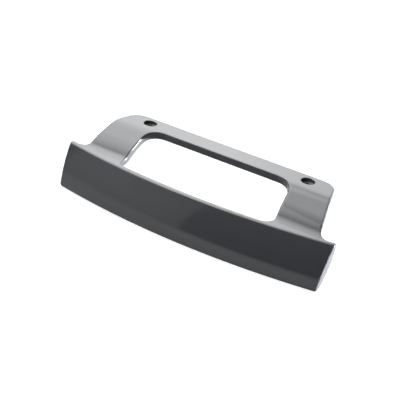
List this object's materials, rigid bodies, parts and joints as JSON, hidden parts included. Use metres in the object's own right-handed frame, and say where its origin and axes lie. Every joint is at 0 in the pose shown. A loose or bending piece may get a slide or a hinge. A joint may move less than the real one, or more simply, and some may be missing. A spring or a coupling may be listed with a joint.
{
  "type": "refrigerator door handle",
  "caption": "Moulded refrigerator door handle: a flat screw strip whose bent legs carry a bowed, leaning grip in front of a wide finger opening.",
  "frame": {"origin": "midway between the two screw holes, on the strip's underside, which rests on the door", "axes": "+X along the handle, +Z along the screws towards their heads, -Y out to the grip and the hand"},
  "size_m": [0.196, 0.0673, 0.0436],
  "materials": {
    "handle": "satin gloss"
  },
  "bodies": {
    "root": {"handle": "handle"}
  },
  "joints": []
}
